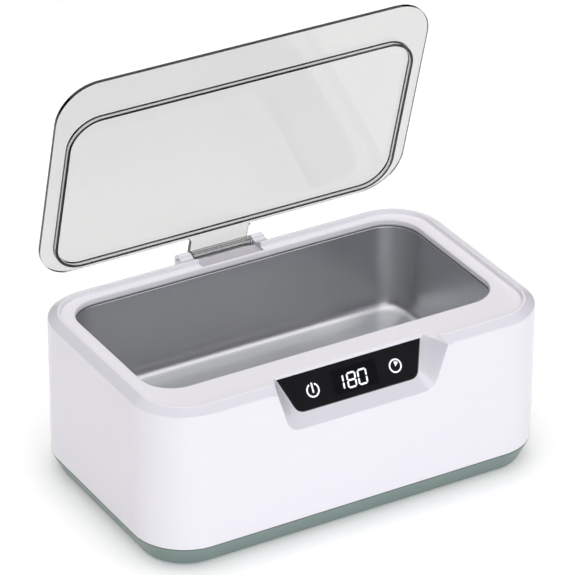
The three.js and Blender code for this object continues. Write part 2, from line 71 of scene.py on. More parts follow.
RECESS_FRONT, RECESS_Z = MOUTH_BACK + 1.6, SHELF_Z - 1.2  # the shallow recess under the hinge
TANK_FLOOR_Z = 33
TANK_TOP_Z = SHELF_Z - WALL - 1.4  # the seal's underside
STEEL = 0.8  # the tank's sheet
PANEL_LEAN = math.radians(31.2)
PANEL_BOTTOM_Y, PANEL_BOTTOM_Z = -56.9, 62.5
PANEL_HALF, PANEL_TOP_HALF, PANEL_HEIGHT, PANEL_RADIUS = 30, 36.1, 16.2, 3.2
NOTCH_BOTTOM_Z, NOTCH_TOP_Z, NOTCH_BACK_Y = 56.7, 77.5, -48.5
NOTCH_HALF, NOTCH_TOP_HALF, NOTCH_RADIUS = 36.3, 43, 5.5
POWER_X, TIMER_X, ICON_UP = -20.7, 21.0, 7.6  # the two keys' symbols, on the panel's plane
INLET_X, INLET_Z, INLET_HALF, INLET_HALF_HEIGHT = 62, 21.5, 10.4, 6.2
FOOT_RADIUS = 6
POST_TOP, POST_BOTTOM = 29, SEAM_Z + 1.8  # the posts that the base's screws go into
CORNERS = {
    "front_left": (-1, -1),
    "front_right": (1, -1),
    "rear_left": (-1, 1),
    "rear_right": (1, 1),
}
SCREWS = [(sx * 82, sy * 43) for sx, sy in CORNERS.values()]
FEET = [(sx * 64, sy * 42) for sx, sy in CORNERS.values()]
ROUND_STEPS = 20  # facets in a quarter turn
WELD = 0.004  # points closer than this are one
TO_FRAME = Matrix.Translation((0, MIDDLE_Y, 0)) @ Matrix.Scale(MM, 4)
AT_HINGE = Matrix.Translation((0, HINGE_Y, HINGE_Z)) @ Matrix.Rotation(LID_OPEN, 4, "X")


# ---- Closed meshes, combined and softened ----
def to_object(bm, name="work"):
    """Makes an object of the mesh, which is used up."""
    mesh = bpy.data.meshes.new(name)
    bm.to_mesh(mesh)
    bm.free()
    made = bpy.data.objects.new(name, mesh)
    bpy.context.scene.collection.objects.link(made)
    return made


def loft(rings, ring_shaped=False, triangles=False):
    """A closed skin through rings of equal count, capped, or joined end to end as a hollow ring."""
    bm = bmesh.new()
    rows = [[bm.verts.new(p) for p in ring] for ring in rings]
    pairs = list(zip(rows, rows[1:]))
    if ring_shaped:
        pairs.append((rows[-1], rows[0]))
    else:
        bm.faces.new(rows[0][::-1])
        bm.faces.new(rows[-1])
    for low, high in pairs:
        for k in range(len(low)):
            n = (k + 1) % len(low)
            bm.faces.new((low[k], low[n], high[n], high[k]))
    if triangles:
        bmesh.ops.triangulate(bm, faces=bm.faces)
    bmesh.ops.recalc_face_normals(bm, faces=bm.faces)
    return to_object(bm)


def settle(piece):
    """Applies the piece's modifiers to its mesh."""
    bpy.context.view_layer.update()
    graph = bpy.context.evaluated_depsgraph_get()
    mesh = bpy.data.meshes.new_from_object(piece.evaluated_get(graph), depsgraph=graph)
    piece.modifiers.clear()
    piece.data = mesh
    return piece


def combine(body, operation, *tools):
    """Joins, cuts or intersects the body with each tool in turn. The tools are used up."""
    for tool in tools:
        boolean = body.modifiers.new("combine", "BOOLEAN")
        boolean.operation = operation
        boolean.solver = "EXACT"
        boolean.object = tool
        settle(body)
        bpy.data.objects.remove(tool)
    return body


def join(body, *tools):
    return combine(body, "UNION", *tools)


def cut(body, *tools):
    return combine(body, "DIFFERENCE", *tools)


def divide(bm, axis, at):
    """Divides the faces that cross the plane at that place on X, Y or Z."""
    across = Vector([float(axis == name) for name in "XYZ"])
    parts = bm.verts[:] + bm.edges[:] + bm.faces[:]
    bmesh.ops.bisect_plane(bm, geom=parts, dist=1e-4, plane_co=across * at, plane_no=across)


def soften(piece, radius, least_turn=20, inner_edges=True, slices=(), merge_above=1e3):
    """Rounds the edges that turn more than least_turn degrees.

    radius is in millimetres, at most 1, or a rule that gives it from an edge's middle. Flat faces
    above merge_above are joined first. The slices, pairs of axis and place, divide flat faces at
    their holes, so that each face stays simple.
    """
    bm = bmesh.new()
    bm.from_mesh(piece.data)
    bmesh.ops.remove_doubles(bm, verts=bm.verts, dist=WELD)
    bmesh.ops.dissolve_degenerate(bm, edges=bm.edges, dist=WELD)
    high = [vert for vert in bm.verts if vert.co.z > merge_above]
    edges = [edge for edge in bm.edges if min(vert.co.z for vert in edge.verts) > merge_above]
    bmesh.ops.dissolve_limit(bm, angle_limit=math.radians(0.3), verts=high, edges=edges)
    for axis, at in slices:
        divide(bm, axis, at)
    weights = bm.edges.layers.float.new("bevel_weight_edge")
    for edge in bm.edges:
        if len(edge.link_faces) != 2 or (not inner_edges and edge.calc_face_angle_signed(0) < 0):
            continue
        if edge.calc_face_angle(0) > math.radians(least_turn):
            middle = (edge.verts[0].co + edge.verts[1].co) / 2
            edge[weights] = radius(middle) if callable(radius) else radius
    bm.to_mesh(piece.data)
    bm.free()
    bevel = piece.modifiers.new("soften", "BEVEL")
    bevel.limit_method = "WEIGHT"
    bevel.width = 1  # so that an edge's weight is its radius
    bevel.segments = 3
    bevel.use_clamp_overlap = False
    bevel.miter_outer = "MITER_SHARP"
    settle(piece)
    bm = bmesh.new()
    bm.from_mesh(piece.data)
    loose = [edge for edge in bm.edges if not edge.link_faces]
    bmesh.ops.delete(bm, geom=loose, context="EDGES")
    bm.to_mesh(piece.data)
    bm.free()
    return piece


def shade(piece, sharp=50):
    """Smooth shading in which flat faces stay flat."""
    mesh = piece.data
    mesh.shade_smooth()
    mesh.set_sharp_from_angle(angle=math.radians(sharp))
    weighted = piece.modifiers.new("weighted", "WEIGHTED_NORMAL")
    weighted.keep_sharp = True
    weighted.weight = 100
    return settle(piece)


def place(piece, name, body, material, replaces=(), transform=Matrix.Identity(4)):
    """Names a finished piece, puts it where it belongs and gives it its finish."""
    piece.data.transform(TO_FRAME @ transform)
    piece.name = piece.data.name = name
    piece.data.materials.clear()
    piece.data.materials.append(material)
    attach(piece, body)
    if replaces:
        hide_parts(*replaces)


# ---- Outlines and simple solids ----
def arc(x, y, radius, start, end, steps):
    """Points on the circle about x, y from start to end, in degrees."""
    turns = [math.radians(start + (end - start) * k / steps) for k in range(steps + 1)]
    return [(x + radius * math.cos(t), y + radius * math.sin(t)) for t in turns]


def rounded_rect(left, right, front, back, radius, steps=ROUND_STEPS):
    return (
        arc(right - radius, front + radius, radius, -90, 0, steps)
        + arc(right - radius, back - radius, radius, 0, 90, steps)
        + arc(left + radius, back - radius, radius, 90, 180, steps)
        + arc(left + radius, front + radius, radius, 180, 270, steps)
    )


def housing_outline(inset):
    side, back = SIDE - inset, BACK - inset
    return rounded_rect(-side, side, -back, back, CORNER_RADIUS - inset)


def mouth_outline(outset):
    left, right = MOUTH_LEFT - outset, MOUTH_RIGHT + outset
    front, back = MOUTH_FRONT - outset, MOUTH_BACK + outset
    return rounded_rect(left, right, front, back, MOUTH_RADIUS + outset)


def level(points, z):
    return [(x, y, z) for x, y in points]


def toward(start, end, share):
    """The point that lies that share of the way from start to end."""
    return tuple(a + (b - a) * share for a, b in zip(start, end))


def between(start, end, parts):
    """Points from start up to, but not on, end."""
    return [toward(start, end, k / parts) for k in range(parts)]


def bend(start, corner, end, parts=10):
    """Points of the curve from start up to, but not on, end that is drawn towards corner."""
    points = []
    for k in range(parts):
        t = k / parts
        to_start, to_corner, to_end = (1 - t) ** 2, 2 * t * (1 - t), t * t
        places = zip(start, corner, end)
        points.append(tuple(to_start * a + to_corner * b + to_end * c for a, b, c in places))
    return points


def trapezoid(bottom_half, top_half, height, radius):
    """A trapezoid with round bottom corners.

    Its straight sides are divided so that lofts of it stay smooth.
    """
    lean = (top_half - bottom_half) / height * radius
    left_top, right_top = (-top_half, height), (top_half, height)
    left_low, right_low = (-bottom_half - lean, radius), (bottom_half + lean, radius)
    left_foot, right_foot = (-bottom_half + radius, 0), (bottom_half - radius, 0)
    return (
        between(left_top, left_low, 8)
        + bend(left_low, (-bottom_half, 0), left_foot)
        + between(left_foot, right_foot, 16)
        + bend(right_foot, (bottom_half, 0), right_low)
        + between(right_low, right_top, 8)
        + [right_top]
    )


def prism(points, bottom, top):
    return loft([level(points, bottom), level(points, top)])


def along_x(points, left, right):
    """A prism along X of a profile drawn in Y and Z."""
    return loft([[(x, y, z) for y, z in points] for x in (left, right)])


def box(left, right, front, back, bottom, top):
    return prism([(left, front), (right, front), (right, back), (left, back)], bottom, top)


def circle(x, y, radius, sides=48):
    return arc(x, y, radius, 0, 360 * (sides - 1) / sides, sides - 1)


def rod(radius, x, y, bottom, top, sides=48):
    return prism(circle(x, y, radius, sides), bottom, top)


def rod_along_x(radius, left, right, y, z, sides=48):
    return along_x(circle(y, z, radius, sides), left, right)


def rod_along_y(radius, x, front, back, z, sides=48):
    points = circle(x, z, radius, sides)
    return loft([[(px, y, pz) for px, pz in points] for y in (front, back)])


def lathe(profile, x, y, sides=48):
    """A solid turned about the upright line through x, y. The profile runs from axis to axis."""
    bm = bmesh.new()
    rows = []
    for radius, z in profile:
        if radius == 0:
            rows.append([bm.verts.new((x, y, z))])
        else:
            rows.append([bm.verts.new((px, py, z)) for px, py in circle(x, y, radius, sides)])
    for low, high in zip(rows, rows[1:]):
        for k in range(sides):
            n = (k + 1) % sides
            lower = [low[k % len(low)], low[n % len(low)]]
            upper = [high[n % len(high)], high[k % len(high)]]
            bm.faces.new(list(dict.fromkeys(lower + upper)))
    bmesh.ops.recalc_face_normals(bm, faces=bm.faces)
    return to_object(bm)


# ---- The control panel's leaning plane ----
def panel_point(across, up, behind):
    """The place of a point that is drawn on the panel's face, or that far behind it."""
    return (
        across,
        PANEL_BOTTOM_Y + up * math.sin(PANEL_LEAN) + behind * math.cos(PANEL_LEAN),
        PANEL_BOTTOM_Z + up * math.cos(PANEL_LEAN) - behind * math.sin(PANEL_LEAN),
    )


def panel_plate(points, deep, shallow):
    return loft([[panel_point(x, up, behind) for x, up in points] for behind in (deep, shallow)])


def panel_outline(outset, height):
    """The panel's outline, that much larger at its sides and foot and as high as height."""
    slope = (PANEL_TOP_HALF - PANEL_HALF) / PANEL_HEIGHT
    half = PANEL_HALF + outset
    rise = height + outset
    shape = trapezoid(half, half + slope * rise, rise, PANEL_RADIUS + outset)
    return [(x, up - outset) for x, up in shape]


def notch_body(outset, behind):
    """The bevelled notch, or a block thicker than it all round that becomes its walls."""
    high = TOP_Z + 4
    margin = 0.5 + outset  # between the panel and the foot of the bevels
    slope = (NOTCH_TOP_HALF - NOTCH_HALF) / (NOTCH_TOP_Z - NOTCH_BOTTOM_Z)
    half, bottom = NOTCH_HALF + outset, NOTCH_BOTTOM_Z - outset
    front = trapezoid(half, half + slope * (high - bottom), high - bottom, NOTCH_RADIUS + outset)
    back = panel_outline(margin, (high - PANEL_BOTTOM_Z) / math.cos(PANEL_LEAN) - margin)
    back_ring = [panel_point(x, up, behind) for x, up in back]
    front_ring = [(x, -BACK, bottom + z) for x, z in front]
    parts = 6
    rings = [
        [toward(p, q, k / parts) for p, q in zip(back_ring, front_ring)] for k in range(parts + 1)
    ]
    rings.append([(x * 1.08, -BACK - 4, bottom - 1 + z) for x, z in front])  # clear of the wall
    return loft(rings, triangles=True)


# ---- Finishes ----
def linear(*srgb):
    """The shader's colour for red, green and blue as 0 to 255."""
    dark = 3294.6  # sRGB's straight part is 255 * 12.92
    parts = [c / dark if c <= 10 else ((c / 255 + 0.055) / 1.055) ** 2.4 for c in srgb]
    return (*parts, 1.0)


def ramp(tree, source, start, end, low, high):
    """Runs from low to high as source goes from start to end."""
    made = tree.nodes.new("ShaderNodeMapRange")
    limits = {"From Min": start, "From Max": end, "To Min": low, "To Max": high}
    for name, value in limits.items():
        made.inputs[name].default_value = value
    tree.links.new(source, made.inputs["Value"])
    return made.outputs["Result"]


class Finish:
    """A node material with one Principled shader.

    Its colour, roughness and relief come from patterns in the piece's own space.
    """

    def __init__(self, name, colour, roughness, metallic=0.0, ior=1.5, level=0.5):
        self.material = bpy.data.materials.new(name)
        self.material.use_nodes = True
        self.tree = self.material.node_tree
        self.shader = self.tree.nodes["Principled BSDF"]
        self.colour = colour
        self.roughness = roughness
        self.normal = None
        self.set("Base Color", colour)
        self.set("Roughness", roughness)
        self.set("Metallic", metallic)
        self.set("IOR", ior)
        self.set("Specular IOR Level", level)
        self.coordinates = self.tree.nodes.new("ShaderNodeTexCoord").outputs
        self.place = self.coordinates["Object"]

    def set(self, name, value):
        self.shader.inputs[name].default_value = value

    def node(self, kind, **values):
        made = self.tree.nodes.new(kind)
        for key, value in values.items():
            if key in made.inputs:
                made.inputs[key].default_value = value
            else:
                setattr(made, key, value)
        return made

    def link(self, source, target):
        self.tree.links.new(source, target)

    def stretched(self, *scale):
        mapping = self.node("ShaderNodeMapping", Scale=scale)
        self.link(self.place, mapping.inputs["Vector"])
        return mapping.outputs["Vector"]

    def noise(self, scale, detail, rough=0.5, where=None):
        made = self.node("ShaderNodeTexNoise", Scale=scale, Detail=detail, Roughness=rough)
        self.link(where or self.place, made.inputs["Vector"])
        return made.outputs["Fac"]

    def blotches(self, scale, detail, low, high, rough=0.5, where=None):
        """Noise with its middle range drawn out from low to high."""
        return ramp(self.tree, self.noise(scale, detail, rough, where), 0.3, 0.7, low, high)

    def mix(self, factor, first, second):
        """The first colour, a tuple or a socket, where factor is 0. The second where it is 1."""
        made = self.node("ShaderNodeMix", data_type="RGBA")
        at_zero, at_one, result = made.inputs[6], made.inputs[7], made.outputs[2]
        if isinstance(first, tuple):
            at_zero.default_value = first
        else:
            self.link(first, at_zero)
        at_one.default_value = second
        self.link(factor, made.inputs[0])
        return result

    def mottle(self, scale, amount, detail=3.0):
        """The colour wanders by that share."""
        dark = (*(c * (1 - amount) for c in self.colour[:3]), 1.0)
        mixed = self.mix(self.blotches(scale, detail, 0, 1), self.colour, dark)
        self.link(mixed, self.shader.inputs["Base Color"])
        return self

    def along(self, axis, start, end, low=0.0, high=1.0, of="Object"):
        """Runs from low to high as a coordinate, or part of the normal, goes from start to end."""
        parts = self.node("ShaderNodeSeparateXYZ")
        self.link(self.coordinates[of], parts.inputs["Vector"])
        return ramp(self.tree, parts.outputs[axis], start, end, low, high)

    def within(self, axis, start, end, blur=0.1):
        """Masks that are one from start to end, in millimetres, and fade over blur outside them."""
        shift = MIDDLE_Y if axis == "Y" else 0
        masks = []
        if start is not None:
            masks.append(self.along(axis, (start - blur) * MM + shift, start * MM + shift))
        if end is not None:
            masks.append(self.along(axis, end * MM + shift, (end + blur) * MM + shift, 1, 0))
        return masks

    def tone(self, colour, *masks):
        """Takes that colour where every mask is one."""
        mask = masks[0]
        for other in masks[1:]:
            product = self.node("ShaderNodeMath", operation="MULTIPLY")
            self.link(mask, product.inputs[0])
            self.link(other, product.inputs[1])
            mask = product.outputs[0]
        base = self.shader.inputs["Base Color"]
        self.link(self.mix(mask, base.links[0].from_socket, colour), base)
        return self

    def wander(self, scale, amount, where=None):
        """The roughness wanders by that much either way."""
        low, high = self.roughness - amount, self.roughness + amount
        self.link(self.blotches(scale, 4, low, high, 0.6, where), self.shader.inputs["Roughness"])
        return self

    def relief(self, height, depth):
        """Adds relief of that depth, in metres, on top of what is there."""
        bump = self.node("ShaderNodeBump", Strength=1.0, Distance=depth)
        self.link(height, bump.inputs["Height"])
        if self.normal is not None:
            self.link(self.normal, bump.inputs["Normal"])
        self.normal = bump.outputs["Normal"]
        self.link(self.normal, self.shader.inputs["Normal"])
        return self

    def grain(self, scale, depth, detail=2.0, where=None):
        return self.relief(self.noise(scale, detail, 0.5, where), depth)


def plain(name, colour, roughness, metallic=0.0, grain=(900, 4e-6), mottle=(120, 0.06)):
    """A finish with one mottle (scale and share) and one grain (scale and depth)."""
    finish = Finish(name, colour, roughness, metallic)
    finish.mottle(*mottle).wander(mottle[0] * 1.7, 0.05).grain(*grain)
    return finish.material


white = Finish("moulded_white_plastic", linear(240, 238, 244), 0.2)
white.mottle(22, 0.012).wander(60, 0.04).grain(140, 6e-6, 1).grain(2600, 6e-7)
white.tone(
    linear(218, 216, 225),  # painted shade on the chamfer: darker where it is high up, and neither level nor upright
    *white.within("Z", TOP_Z - CHAMFER_DOWN + 0.1, None, 0.2),
    white.along("Z", 0.45, 0.8, of="Normal"),
    white.along("Z", 0.93, 0.985, 1, 0, of="Normal"),
)
white.tone(
    linear(219, 217, 225),  # painted shade on the walls of the notch, which don't face straight forward
    white.along("Y", -0.985, -0.93, of="Normal"),
    *white.within("X", -45, 45, 1),
    *white.within("Y", None, NOTCH_BACK_Y - 0.1, 0.2),
    *white.within("Z", NOTCH_BOTTOM_Z - 0.1, None, 0.4),
    *white.within("Z", None, NOTCH_TOP_Z - 0.1, 0.2),
)
white.tone(
    linear(196, 194, 202),  # painted shade in the recess under the hinge
    *white.within("X", -LUG_INNER, LUG_INNER),
    *white.within("Y", RECESS_FRONT, None),
    *white.within("Z", RECESS_Z - 0.05, None, 0.05),
)
white_plastic = white.material

tray = Finish("moulded_grey_green_plastic", linear(118, 137, 131), 0.36)
tray.mottle(40, 0.04).wander(90, 0.05).grain(2200, 2.5e-6, 3)
grey_plastic = tray.material

sheet_steel = Finish("drawn_stainless_steel", linear(210, 211, 214), 0.34, 1.0)
brushed = sheet_steel.stretched(1, 1, 26)
sheet_steel.mottle(30, 0.05).wander(160, 0.05, brushed).grain(900, 5e-7, 3, brushed)
tank_steel = sheet_steel.material


def smoky(name, colour, roughness):
    """Clear plastic: its surface tints light by that colour, and its depth dims it."""
    smoke = Finish(name, colour, roughness, ior=1.49)
    smoke.set("Transmission Weight", 1.0)
    smoke.grain(9, 2e-5, 1)
    absorb = smoke.node("ShaderNodeVolumeAbsorption", Color=(0.42, 0.415, 0.40, 1.0), Density=195.0)
    smoke.link(absorb.outputs["Volume"], smoke.tree.nodes["Material Output"].inputs["Volume"])
    return smoke.material


smoky_plastic = smoky("smoky_clear_plastic", (0.965, 0.965, 0.965, 1.0), 0.05)
# painted shade: the lid's upright edge faces are tinted dark, for the dark line that its edge shows
smoky_edge_painted_shade = smoky("smoky_edge_painted_shade", (0.45, 0.45, 0.45, 1.0), 0.12)
# painted shade: the rib's faces are tinted a little darker, which dulls their highlight
smoky_rib_painted_shade = smoky("smoky_rib_painted_shade", (0.92, 0.92, 0.92, 1.0), 0.08)

gloss = Finish("black_panel_gloss", linear(31, 31, 33), 0.09, level=0.22)
gloss.mottle(60, 0.2).wander(70, 0.03).grain(60, 6e-6, 1)
panel_gloss = gloss.material

dim = Finish("display_window_gloss", linear(23, 23, 25), 0.16, level=0.15)
dim.mottle(80, 0.2).wander(90, 0.03)
window_gloss = dim.material

lit = Finish("lit_white_graphic", linear(225, 227, 230), 0.5)
lit.set("Emission Color", (0.95, 0.97, 1.0, 1.0))
lit.set("Emission Strength", 0.55)
lit.mottle(900, 0.05)
lit_graphic = lit.material

pressed_rubber = plain("foot_rubber", linear(42, 44, 45), 0.85, grain=(1800, 1e-5))
silicone = plain("seal_silicone", linear(214, 216, 218), 0.5)
turned_steel = plain("turned_steel", linear(188, 190, 194), 0.2, 1.0, (1500, 1e-6), (300, 0.08))
zinc = plain("zinc_plated_steel", linear(160, 164, 170), 0.34, 1.0, (1100, 2e-6), (260, 0.15))
black_plastic = plain("moulded_black_plastic", linear(24, 24, 26), 0.45, grain=(2200, 3e-6))
brass = plain("bare_brass", linear(190, 160, 100), 0.34, 1.0)


# ---- Housing ----
def shell_radius(p):
    """The radius of the housing's edges, by where they are."""
    across = abs(p.x)
    at_lug = LUG_INNER - 0.1 < across < LUG_OUTER + 0.1 and p.y > BACK - 1.6
    if at_lug and p.z > HINGE_Z - 16:
        return 0.12
    if 38 < across < 47 and p.y < NOTCH_BACK_Y + 3 and p.z > TOP_Z - 3:
        return 0.15  # the notch's upper corners
    lean = Vector((0, p.y - PANEL_BOTTOM_Y, p.z - PANEL_BOTTOM_Z))
    behind = lean.y * math.cos(PANEL_LEAN) - lean.z * math.sin(PANEL_LEAN)
    in_pocket = p.y < NOTCH_BACK_Y + 1 and behind > -0.1 and p.z < SHELF_Z - 0.5
    if in_pocket and across < PANEL_TOP_HALF + 0.45:
        return 0.08  # the pocket that the panel sits in
    if p.z < SEAM_Z + 1:
        return 0.25
    over_tank = across < MOUTH_RIGHT + 0.1 and MOUTH_FRONT - 0.5 < p.y < MOUTH_BACK + 0.1
    if over_tank and abs(p.z - SHELF_Z) < 0.05:
        return 0.7  # the tank's mouth
    if abs(p.z - TOP_Z + CHAMFER_DOWN) < 0.05:
        return 0.7  # the chamfer's lower edge
    return 0.35


def hinge_lug(side):
    """A round eye on a gusset that runs down the back wall."""
    inside = BACK - 1.5  # within the wall
    eye = arc(HINGE_Y, HINGE_Z, BARREL_RADIUS, 0, 135, 24)
    root = (inside, TOP_Z - CHAMFER_DOWN + 0.6)  # on the chamfer, clear of the wall's edge
    profile = [(inside, HINGE_Z - 14), (HINGE_Y + BARREL_RADIUS, HINGE_Z - 5), *eye, root]
    left, right = sorted((side * LUG_INNER, side * LUG_OUTER))
    return along_x(profile, left, right)


def inlet_block(half, half_height, front, back):
    """A block about the power inlet's middle."""
    left, right = INLET_X - half, INLET_X + half
    return box(left, right, front, back, INLET_Z - half_height, INLET_Z + half_height)


def housing():
    wall_top = TOP_Z - CHAMFER_DOWN
    lip = SHELF_Z - WALL
    outer = [
        level(housing_outline(0), SEAM_Z + GAP / 2),
        level(housing_outline(0), wall_top),
        level(housing_outline(CHAMFER_IN), TOP_Z),
    ]
    hollow = [
        level(housing_outline(SHELF_INSET), TOP_Z),
        level(housing_outline(SHELF_INSET), SHELF_Z),
        level(mouth_outline(0), SHELF_Z),
        level(mouth_outline(0), lip),
        level(housing_outline(WALL + 3), lip),
        level(housing_outline(WALL), wall_top - WALL),
        level(housing_outline(WALL), SEAM_Z + GAP / 2),
    ]
    shelf = prism(housing_outline(SHELF_INSET), SHELF_Z, TOP_Z + 2)
    walls = cut(combine(notch_body(2.2, 3.6), "INTERSECT", loft(outer)), shelf)
    front_of_panel = box(-60, 60, -BACK - 8, NOTCH_BACK_Y, 40, TOP_Z + 6)
    opening = combine(notch_body(0, 0), "INTERSECT", front_of_panel)
    body = join(loft(outer + hollow, ring_shaped=True), walls)
    mouth = prism(mouth_outline(0), SHELF_Z - 12, TOP_Z + 2)
    pocket = panel_plate(panel_outline(GAP, PANEL_HEIGHT), 1.8, -1)
    window = panel_plate([(-17, 3.4), (17, 3.4), (17, 13), (-17, 13)], 5, 1)
    key_holes = [panel_plate(circle(side * TIMER_X, ICON_UP, 3.3), 5, 1) for side in (-1, 1)]
    recess = box(-LUG_INNER, LUG_INNER, RECESS_FRONT, BACK + 4, RECESS_Z, TOP_Z + 2)
    inlet = inlet_block(INLET_HALF + 0.4, INLET_HALF_HEIGHT + 0.4, BACK - 6, BACK + 2)
    posts = [rod(4, x, y, POST_BOTTOM, POST_TOP) for x, y in SCREWS]
    body = join(body, hinge_lug(-1), hinge_lug(1), *posts)
    bores = [rod(1.5, x, y, 10, 26, 16) for x, y in SCREWS]
    pin_bore = rod_along_x(PIN_BORE, -LUG_OUTER - 2, LUG_OUTER + 2, HINGE_Y, HINGE_Z)
    cut(body, mouth, opening, recess, pocket, window, *key_holes, inlet, pin_bore, *bores)
    slices = [("X", 0), ("X", INLET_X)]
    soften(body, shell_radius, inner_edges=False, slices=slices, merge_above=TOP_Z - 0.05)
    return shade(body)


place(housing(), "housing_shell", "housing", white_plastic, ["outer_shell"])


# ---- Base ----
def base_tray():
    floor = FOOT_HEIGHT + WALL
    brim = SEAM_Z - GAP / 2
    tongue = brim + 3.5  # top of the ring that stands inside the housing's wall
    floor_inset = BASE_TAPER * (brim - floor) / (brim - FOOT_HEIGHT) + WALL
    body = loft([
        level(housing_outline(BASE_TAPER), FOOT_HEIGHT),
        level(housing_outline(0), brim),
        level(housing_outline(WALL + GAP), brim),
        level(housing_outline(WALL + GAP), tongue),
        level(housing_outline(WALL + 1.8), tongue),
        level(housing_outline(WALL + 1.8), brim),
        level(housing_outline(floor_inset), floor),
    ])
    bosses = [rod(5.4, x, y, FOOT_HEIGHT + 1, POST_BOTTOM - GAP) for x, y in SCREWS]
    below = FOOT_HEIGHT - 1
    slots = [rounded_rect(x, x + 3, -18, 18, 1.49, 8) for x in range(-78, -29, 8)]
    vents = [prism(slot, below, floor + 1) for slot in slots]
    wells = []
    for (x, y), (foot_x, foot_y) in zip(SCREWS, FEET):
        wells.append(rod(3.5, x, y, below, 7))
        wells.append(rod(1.8, x, y, 6, 16, 24))
        wells.append(rod(FOOT_RADIUS + GAP, foot_x, foot_y, below, FOOT_HEIGHT + 1.3))
    cut(join(body, *bosses), *vents, *wells)

    def radius(p):
        """0.7 round the bottom's outer edge, and 0.3 elsewhere."""
        beside = max(abs(p.x) - SIDE + CORNER_RADIUS, 0), max(abs(p.y) - BACK + CORNER_RADIUS, 0)
        outermost = math.hypot(*beside) > CORNER_RADIUS - BASE_TAPER - 1
        return 0.7 if outermost and p.z < FOOT_HEIGHT + 0.1 else 0.3

    screw_y = SCREWS[-1][1]
    return shade(soften(body, radius, slices=[("Y", 0), ("Y", -screw_y), ("Y", screw_y)]))


place(base_tray(), "base_tray", "housing", grey_plastic, ["base_cover"])

FOOT_PROFILE = [  # radius and height
    (0, 0.3), (3.1, 0.3), (3.4, 0), (5.3, 0), (5.7, 0.1), (5.93, 0.35), (6, 0.7), (6, 2), (0, 2)
]
SCREW_PROFILE = [
    (0, 4.6), (2.1, 4.6), (2.55, 4.75), (2.8, 5.1), (2.8, 6.6), (1.2, 6.6), (1.2, 21.8), (0, 23)
]
for corner, (x, y), foot_place in zip(CORNERS, SCREWS, FEET):
    foot = shade(lathe(FOOT_PROFILE, *foot_place), 40)
    name = f"rubber_foot_{corner}"
    place(foot, name, "housing", pressed_rubber, [f"foot_{corner}"])
    screw = lathe(SCREW_PROFILE, x, y)
    cross = [box(x - a, x + a, y - b, y + b, 4, 5.7) for a, b in ((1.6, 0.3), (0.3, 1.6))]
    shade(cut(screw, *cross), 40)
    name = f"base_screw_head_{corner}"
    place(screw, name, "housing", zinc, [f"base_screw_{corner}"])


# ---- Tank ----
def tank_basin():
    def wall_profile(thick):
        """Inset and height down one face of the wall, from its turn to the floor."""
        turn = (2.0 - thick, TANK_FLOOR_Z + 8 - thick)
        corner = (2.7 - thick, TANK_FLOOR_Z - thick)
        floor = (8.5 - thick, TANK_FLOOR_Z - thick)
        return bend(turn, corner, floor, 12) + [floor]

    underside = TANK_TOP_Z - STEEL
    wall = -0.5  # the tank is that much larger than the mouth above it
    brim = wall - 4.3
    outer = [(wall - STEEL, underside)] + wall_profile(STEEL)
    flange = [(brim, underside), (brim, TANK_TOP_Z)]
    inner = [(wall, TANK_TOP_Z)] + wall_profile(0)
    rings = outer[::-1] + flange + inner
    body = loft([level(mouth_outline(-inset), z) for inset, z in rings])
    return shade(soften(body, 0.35, 40))


place(tank_basin(), "tank_basin", "housing", tank_steel, ["tank"])

# ---- Control panel ----
panel = soften(panel_plate(panel_outline(0, PANEL_HEIGHT), 1.5, 0), 0.22, 40)
place(shade(panel), "control_panel", "housing", panel_gloss, ["panel_glass"])

PROUD, BURIED = 0.04, 0.05  # how a lit shape lies in the panel's face


def inlay(name, points, material, proud=PROUD):
    """A thin shape in the panel's face."""
    place(shade(panel_plate(points, BURIED, -proud), 40), name, "housing", material)


window_outline = rounded_rect(-10.8, 11.6, 2.6, 13.4, 0.6, 6)
inlay("display_window", window_outline, window_gloss, PROUD / 2)

DIGIT_WIDTH, DIGIT_LOW, DIGIT_HIGH = 3.9, 4.1, 10.4
BAR_WIDTH, SLANT, SLANT_ABOUT = 0.8, 0.07, 7.3


def strip(start, end):
    """One pointed bar of a seven-segment digit."""
    a, b = Vector(start), Vector(end)
    along = (b - a).normalized()
    side = Vector((-along.y, along.x)) * BAR_WIDTH / 2
    tip = along * BAR_WIDTH / 2
    points = [a, a + tip - side, b - tip - side, b, b - tip + side, a + tip + side]
    return [(p.x + SLANT * (p.y - SLANT_ABOUT), p.y) for p in points]


def digit(name, left, lit_bars):
    low, high, gap = DIGIT_LOW, DIGIT_HIGH, 0.12
    middle, right = (low + high) / 2, left + DIGIT_WIDTH
    bars = {
        "top": ((left + gap, high), (right - gap, high)),
        "middle": ((left + gap, middle), (right - gap, middle)),
        "bottom": ((left + gap, low), (right - gap, low)),
        "upper_left": ((left, middle + gap), (left, high - gap)),
        "lower_left": ((left, low + gap), (left, middle - gap)),
        "upper_right": ((right, middle + gap), (right, high - gap)),
        "lower_right": ((right, low + gap), (right, middle - gap)),
    }
    for bar in lit_bars:
        inlay(f"digit_{name}_{bar}", strip(*bars[bar]), lit_graphic)


RING_BARS = ["top", "bottom", "upper_left", "lower_left", "upper_right", "lower_right"]
digit("one", -9.4, ["upper_right", "lower_right"])
digit("eight", -3.3, RING_BARS + ["middle"])
digit("zero", 2.2, RING_BARS)

